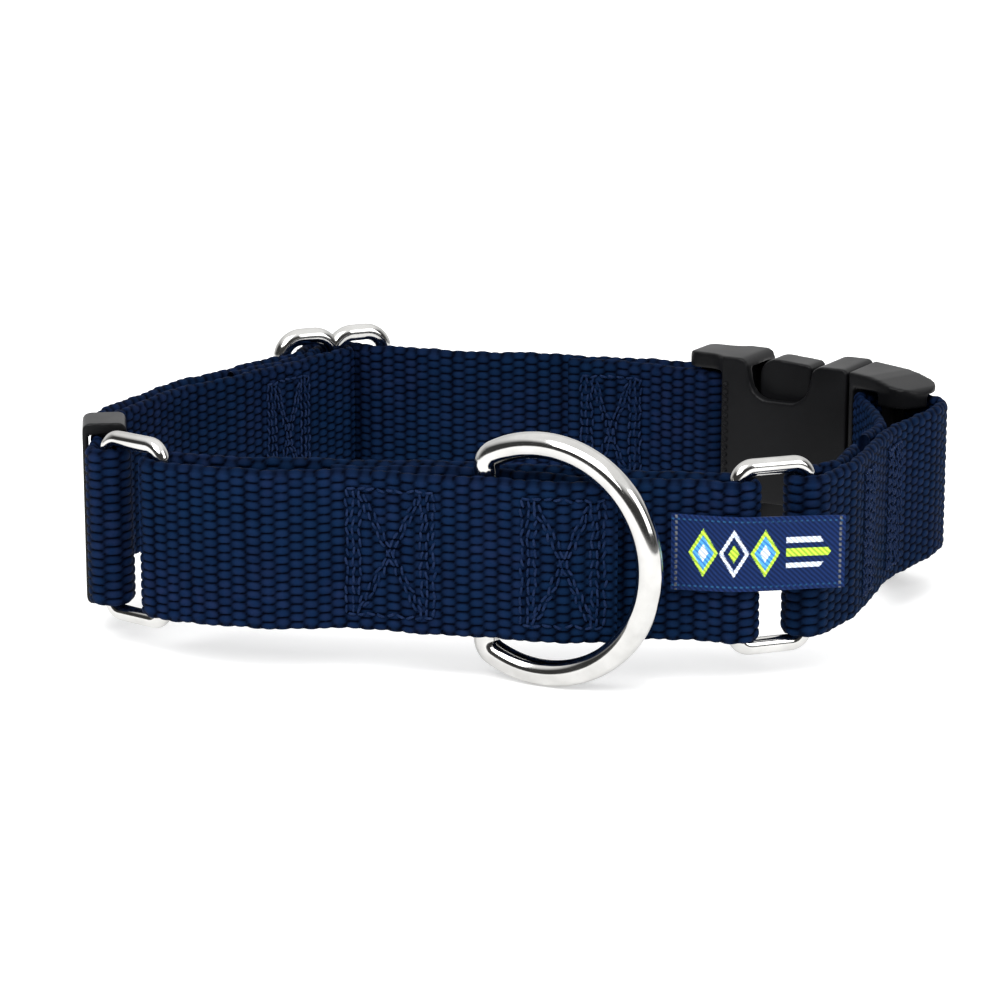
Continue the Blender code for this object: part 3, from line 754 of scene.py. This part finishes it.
def teeth(shade):
    """Row of small gripping teeth along the edge of the shell's webbing slot."""
    matrix = upright(BUCKLE_PLACE, BUCKLE_ANGLE)
    around = np.linspace(0, 2 * math.pi, 11)[:-1]
    verts, faces = [], []
    for i in range(17):
        y = (i - 8) * 0.00136
        base = len(verts)
        for size, rise in ((0.00044, -0.0004), (0.00042, 0.00022), (0.00024, 0.00048)):
            for a in around:
                verts.append(matrix @ Vector((0.00865 + size * 1.1 * math.cos(a),
                                              y + size * math.sin(a),
                                              BUCKLE_HALF_THICK + rise)))
        for level in (0, 10):
            for k in range(10):
                m = (k + 1) % 10
                faces.append((base + level + k, base + level + m, base + level + 10 + m,
                              base + level + 10 + k))
        faces.append(tuple(base + 20 + k for k in range(10)))
        faces.append(tuple(base + 9 - k for k in range(10)))
    mesh = bpy.data.meshes.new("slot_teeth")
    mesh.from_pydata(verts, [], faces)
    mesh.materials.append(shade)
    item = bpy.data.objects.new("slot_teeth", mesh)
    bpy.context.scene.collection.objects.link(item)
    return item


# ---------------------------------------------------------------- materials
def tree_of(name):
    shade = bpy.data.materials.new(name)
    shade.use_nodes = True
    nodes = shade.node_tree.nodes
    return shade, nodes, shade.node_tree.links, nodes["Principled BSDF"]


def mixed(nodes, links, share, low, high):
    """Colour between two by a share; each colour is a tuple or an output."""
    mix = nodes.new("ShaderNodeMix")
    mix.data_type = "RGBA"
    links.new(share, mix.inputs["Factor"])
    for value, socket in ((low, mix.inputs["A"]), (high, mix.inputs["B"])):
        if isinstance(value, tuple):
            socket.default_value = (*value, 1)
        else:
            links.new(value, socket)
    return mix.outputs["Result"]


def ranged(nodes, links, value, low, high, to_low, to_high):
    step = nodes.new("ShaderNodeMapRange")
    step.inputs["From Min"].default_value = low
    step.inputs["From Max"].default_value = high
    step.inputs["To Min"].default_value = to_low
    step.inputs["To Max"].default_value = to_high
    links.new(value, step.inputs["Value"])
    return step.outputs["Result"]


def grain(nodes, links, scale, detail=3.0, source=None, stretch=(1, 1, 1)):
    place = nodes.new("ShaderNodeTexCoord")
    mapping = nodes.new("ShaderNodeMapping")
    mapping.inputs["Scale"].default_value = stretch
    links.new(place.outputs[source or "Object"], mapping.inputs["Vector"])
    rough = nodes.new("ShaderNodeTexNoise")
    rough.inputs["Scale"].default_value = scale
    rough.inputs["Detail"].default_value = detail
    links.new(mapping.outputs["Vector"], rough.inputs["Vector"])
    return rough.outputs["Fac"]


def bump(nodes, links, shader, heights):
    """Fine relief from (output, strength, distance) triples, chained."""
    before = None
    for value, strength, distance in heights:
        relief = nodes.new("ShaderNodeBump")
        relief.inputs["Strength"].default_value = strength
        relief.inputs["Distance"].default_value = distance
        links.new(value, relief.inputs["Height"])
        if before:
            links.new(before, relief.inputs["Normal"])
        before = relief.outputs["Normal"]
    links.new(before, shader.inputs["Normal"])


def attribute(nodes, name, output="Fac"):
    read = nodes.new("ShaderNodeAttribute")
    read.attribute_name = name
    return read.outputs[output]


def webbing_material():
    shade, nodes, links, shader = tree_of("navy_webbing_look")
    tall = attribute(nodes, "height")
    patch = grain(nodes, links, 620, 2.0)
    broad = grain(nodes, links, 55, 2.0)
    body = mixed(nodes, links, ranged(nodes, links, patch, 0.38, 0.62, 0, 1),
                 (0.0044, 0.0142, 0.0480), (0.0082, 0.0170, 0.0540))
    body = mixed(nodes, links, ranged(nodes, links, broad, 0.35, 0.65, 0, 1),
                 body, (0.0038, 0.0150, 0.0465))
    # Painted shade: where the weave height is low (the valleys between the floats, and the lower
    # turned edges) the colour is darkened towards near black. This stands in for the shade that
    # falls there.
    deep = mixed(nodes, links, ranged(nodes, links, tall, 0.15, 0.92, 0, 1),
                 (0.0003, 0.0010, 0.0045), body)
    links.new(deep, shader.inputs["Base Color"])
    lay = nodes.new("ShaderNodeUVMap")
    lay.uv_map = "run"
    stretch = nodes.new("ShaderNodeMapping")
    stretch.inputs["Scale"].default_value = (1.6, 70, 1)
    links.new(lay.outputs["UV"], stretch.inputs["Vector"])
    yarn = nodes.new("ShaderNodeTexNoise")
    yarn.inputs["Scale"].default_value = 3.0
    yarn.inputs["Detail"].default_value = 2.0
    links.new(stretch.outputs["Vector"], yarn.inputs["Vector"])
    links.new(ranged(nodes, links, yarn.outputs["Fac"], 0.3, 0.7, 0.50, 0.66),
              shader.inputs["Roughness"])
    shader.inputs["Specular IOR Level"].default_value = 0.010
    bump(nodes, links, shader, [(yarn.outputs["Fac"], 0.5, 0.00012), (patch, 0.3, 0.0001)])
    return shade


def thread_material():
    shade, nodes, links, shader = tree_of("navy_thread_look")
    patch = grain(nodes, links, 900, 2.0)
    colour = mixed(nodes, links, ranged(nodes, links, patch, 0.35, 0.65, 0, 1),
                   (0.0045, 0.0135, 0.0450), (0.0105, 0.0215, 0.0620))
    links.new(colour, shader.inputs["Base Color"])
    lay = nodes.new("ShaderNodeUVMap")
    lay.uv_map = "run"
    twist = nodes.new("ShaderNodeTexWave")
    twist.bands_direction = "DIAGONAL"
    twist.inputs["Scale"].default_value = 1.6
    twist.inputs["Distortion"].default_value = 0.6
    links.new(lay.outputs["UV"], twist.inputs["Vector"])
    links.new(ranged(nodes, links, twist.outputs["Fac"], 0, 1, 0.42, 0.62),
              shader.inputs["Roughness"])
    shader.inputs["Specular IOR Level"].default_value = 0.04
    bump(nodes, links, shader, [(twist.outputs["Fac"], 0.6, 0.00008)])
    return shade


def label_material():
    shade, nodes, links, shader = tree_of("label_satin_look")
    lay = nodes.new("ShaderNodeUVMap")
    lay.uv_map = "run"
    twill = nodes.new("ShaderNodeTexWave")
    twill.bands_direction = "DIAGONAL"
    twill.inputs["Scale"].default_value = 7.5
    twill.inputs["Distortion"].default_value = 0.8
    twill.inputs["Detail"].default_value = 1.0
    links.new(lay.outputs["UV"], twill.inputs["Vector"])
    line = ranged(nodes, links, twill.outputs["Fac"], 0.2, 0.8, 0.62, 1.25)
    tint = attribute(nodes, "thread_colour", "Color")
    dim = nodes.new("ShaderNodeMix")
    dim.data_type = "RGBA"
    dim.blend_type = "MULTIPLY"
    dim.inputs["Factor"].default_value = 1.0
    grey = nodes.new("ShaderNodeCombineColor")
    for channel in ("Red", "Green", "Blue"):
        links.new(line, grey.inputs[channel])
    links.new(tint, dim.inputs["A"])
    links.new(grey.outputs["Color"], dim.inputs["B"])
    links.new(dim.outputs["Result"], shader.inputs["Base Color"])
    links.new(ranged(nodes, links, twill.outputs["Fac"], 0, 1, 0.34, 0.52),
              shader.inputs["Roughness"])
    shader.inputs["Specular IOR Level"].default_value = 0.06
    bump(nodes, links, shader, [(twill.outputs["Fac"], 0.5, 0.00008)])
    return shade


def metal_material():
    shade, nodes, links, shader = tree_of("nickel_look")
    patch = grain(nodes, links, 260, 3.0)
    fine = grain(nodes, links, 2600, 2.0)
    colour = mixed(nodes, links, ranged(nodes, links, patch, 0.3, 0.7, 0, 1),
                   (0.50, 0.495, 0.48), (0.60, 0.595, 0.58))
    links.new(colour, shader.inputs["Base Color"])
    shader.inputs["Metallic"].default_value = 1.0
    links.new(ranged(nodes, links, patch, 0.3, 0.7, 0.07, 0.13), shader.inputs["Roughness"])
    bump(nodes, links, shader, [(fine, 0.04, 0.00002), (patch, 0.10, 0.00006)])
    return shade


def plastic_material():
    shade, nodes, links, shader = tree_of("black_acetal_look")
    patch = grain(nodes, links, 90, 3.0)
    fine = grain(nodes, links, 5200, 2.0)
    colour = mixed(nodes, links, ranged(nodes, links, patch, 0.3, 0.7, 0, 1),
                   (0.0035, 0.0036, 0.0041), (0.0060, 0.0062, 0.0070))
    links.new(colour, shader.inputs["Base Color"])
    links.new(ranged(nodes, links, patch, 0.3, 0.7, 0.32, 0.42), shader.inputs["Roughness"])
    shader.inputs["Specular IOR Level"].default_value = 0.13
    bump(nodes, links, shader, [(fine, 0.15, 0.00003)])
    return shade


# ---------------------------------------------------------------- assembly
def spot(place, z=MID):
    p = framed(place)
    return (p.x, p.y, z)


def build():
    navy = webbing_material()
    thread = thread_material()
    satin = label_material()
    metal = metal_material()
    plastic = plastic_material()

    # Neck strap, cut where its stretches follow different parts
    slide_in = NECK.near((-0.0385, 0.1010))
    over = NECK.near(SLIDE_CENTRE + left_of(SLIDE_ALONG) * SLIDE_OVER)
    over = max(over, NECK.walked[-1] * 0.5)
    mid_left = NECK.near((-0.0140, 0.0996))
    mid_right = NECK.near((0.0080, 0.0957))
    pieces = []
    low = spot((-0.0560, 0.0680))
    high = spot((-0.0450, 0.0830))
    first = strap("neck_strap_adjusting", NECK, 0, over, 1.0, navy)
    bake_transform(first)
    second = strap("neck_strap_back", NECK, over, mid_left, 1.0, navy)
    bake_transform(second)
    third = strap("neck_strap_middle", NECK, mid_left, mid_right, 1.0, navy)
    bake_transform(third)
    fourth = strap("neck_strap_buckle_end", NECK, mid_right, NECK.length, 1.0, navy)
    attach(fourth, "collar")
    pieces += [(first, "neck_strap"), (second, "neck_strap"), (third, "neck_strap"),
               (fourth, "neck_strap")]

    # Buckle strap
    fifth = strap("buckle_strap_webbing", SHORT, 0, SHORT.length, 2.0, navy)
    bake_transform(fifth)
    pieces.append((fifth, "buckle_strap"))

    # Control loop
    inner_right = LOOP.near((0.0353, 0.0058))
    outer_right = LOOP.near((0.0350, 0.0006))
    inner_left = LOOP.near((-0.0513, 0.0197))
    wrap = strap("loop_right_fold", LOOP, outer_right, inner_right, 3.0, navy)
    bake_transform(wrap)
    under = strap("loop_under_layer", LOOP, 0, outer_right, 3.0, navy)
    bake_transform(under)
    inside = strap("loop_inner_half", LOOP, inner_right, inner_left, 3.0, navy)
    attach(inside, "collar")
    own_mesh(inside)
    outside = strap("loop_outer_layer", LOOP, inner_left, LOOP.length, 3.0, navy)
    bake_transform(outside)
    pieces += [(wrap, "control_loop"), (under, "control_loop"), (inside, "control_loop"),
               (outside, "control_loop")]
    for item, node in pieces:
        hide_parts(node)

    follow = {
        "loop_left_stitching": ("loop_left",),
        "loop_right_stitching": ("loop_right",),
        "slide_end_stitching": ("left_side", "adjuster", low, high),
        "buckle_end_stitching": ("collar",),
        "ring_end_stitching": ("collar",),
        "buckle_strap_stitching": ("collar", "male_half", spot((0.0575, 0.0300)),
                                   spot((0.0672, 0.0530))),
    }
    for name, bodies in follow.items():
        item = stitches(name, name.replace("stitching", "threads"), thread)
        if len(bodies) == 1:
            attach(item, bodies[0])
        else:
            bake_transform(item)
        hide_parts(name)

    patch = label(satin)
    patch.name = "label_patch"
    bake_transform(patch)
    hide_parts("woven_label")

    left = ring("left_ring_wire", LEFT_RING_BACK, LEFT_RING_FRONT, metal)
    right = ring("right_ring_wire", RIGHT_RING_RIGHT, RIGHT_RING_LEFT, metal)
    loops = slide_loops(metal)
    dee = wire("d_ring_wire", dring_points(), DRING_WIRE / 2, metal,
               upright(DRING_BAR, DRING_ANGLE), sides=40)
    for item, body, node in ((left, "left_side", "left_ring"), (right, "right_link", "right_ring"),
                             (loops[0], "adjuster", "slide"), (loops[1], "adjuster", "slide"),
                             (dee, "leash_ring", "d_ring")):
        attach(item, body)
        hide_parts(node)

    for node, body, voxel in (("keeper", "strap_keeper", 0.00022),
                              ("buckle_female", "collar", 0.00026),
                              ("buckle_male", "male_half", 0.00026),
                              ("upper_prong", "prong_top", 0.00022),
                              ("lower_prong", "prong_bottom", 0.00022)):
        item = moulded(node, voxel, plastic)
        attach(item, body)
        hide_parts(node)
    item = teeth(plastic)
    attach(item, "collar")


# ---------------------------------------------------------------- studio
CAMERA_PLACE = (-0.00362, -0.55248, 0.1539)
CAMERA_DIP = math.radians(13.93)
CAMERA_LENS = 126


def studio():
    scene = bpy.context.scene
    mesh = bpy.data.meshes.new("floor")
    far = 8.0
    mesh.from_pydata([(-far, -far, 0), (far, -far, 0), (far, far, 0), (-far, far, 0)], [],
                     [(0, 1, 2, 3)])
    floor = bpy.data.objects.new("floor", mesh)
    scene.collection.objects.link(floor)
    shade, nodes, links, shader = tree_of("pale_floor")
    cloud = grain(nodes, links, 3.0, 2.0)
    pale = mixed(nodes, links, cloud, (0.80, 0.80, 0.80), (0.83, 0.83, 0.83))
    links.new(pale, shader.inputs["Base Color"])
    shader.inputs["Roughness"].default_value = 0.9
    shader.inputs["Specular IOR Level"].default_value = 0.1
    shader.inputs["Emission Color"].default_value = (1, 1, 1, 1)
    shader.inputs["Emission Strength"].default_value = 0.38
    mesh.materials.append(shade)

    world = bpy.data.worlds.new("studio")
    scene.world = world
    world.use_nodes = True
    nodes, links = world.node_tree.nodes, world.node_tree.links
    way = nodes.new("ShaderNodeTexCoord")
    parts = nodes.new("ShaderNodeSeparateXYZ")
    links.new(way.outputs["Generated"], parts.inputs["Vector"])
    front = ranged(nodes, links, parts.outputs["Y"], 0.55, 0.0, 0, 1)
    level = mixed(nodes, links, front, (0.95, 0.95, 0.95), (0.06, 0.06, 0.06))
    low = ranged(nodes, links, parts.outputs["Z"], 0.10, 0.0, 0, 1)
    level = mixed(nodes, links, low, level, (0.36, 0.36, 0.36))
    over = ranged(nodes, links, parts.outputs["Z"], 0.50, 0.74, 0, 1)
    level = mixed(nodes, links, over, level, (1.30, 1.30, 1.30))
    back = nodes["Background"]
    links.new(level, back.inputs["Color"])
    back.inputs["Strength"].default_value = 1.0

    def softbox(name, place, aim, size, power):
        data = bpy.data.lights.new(name, "AREA")
        data.shape = "RECTANGLE"
        data.size, data.size_y = size
        data.energy = power
        lamp = bpy.data.objects.new(name, data)
        scene.collection.objects.link(lamp)
        lamp.location = place
        look = Vector(aim) - Vector(place)
        lamp.rotation_mode = "QUATERNION"
        lamp.rotation_quaternion = look.to_track_quat("-Z", "Y")

    softbox("key", (-0.35, -0.75, 0.95), (0, 0, 0.02), (0.9, 0.9), 15)
    softbox("fill", (0.8, -0.5, 0.55), (0, 0, 0.02), (0.6, 0.6), 4)

    data = bpy.data.cameras.new("camera")
    data.sensor_width = 36
    data.lens = CAMERA_LENS
    data.clip_start, data.clip_end = 0.01, 50
    camera = bpy.data.objects.new("camera", data)
    scene.collection.objects.link(camera)
    camera.location = CAMERA_PLACE
    camera.rotation_euler = (math.pi / 2 - CAMERA_DIP, 0, 0)
    scene.camera = camera
    scene.view_settings.view_transform = "Standard"


build()
studio()
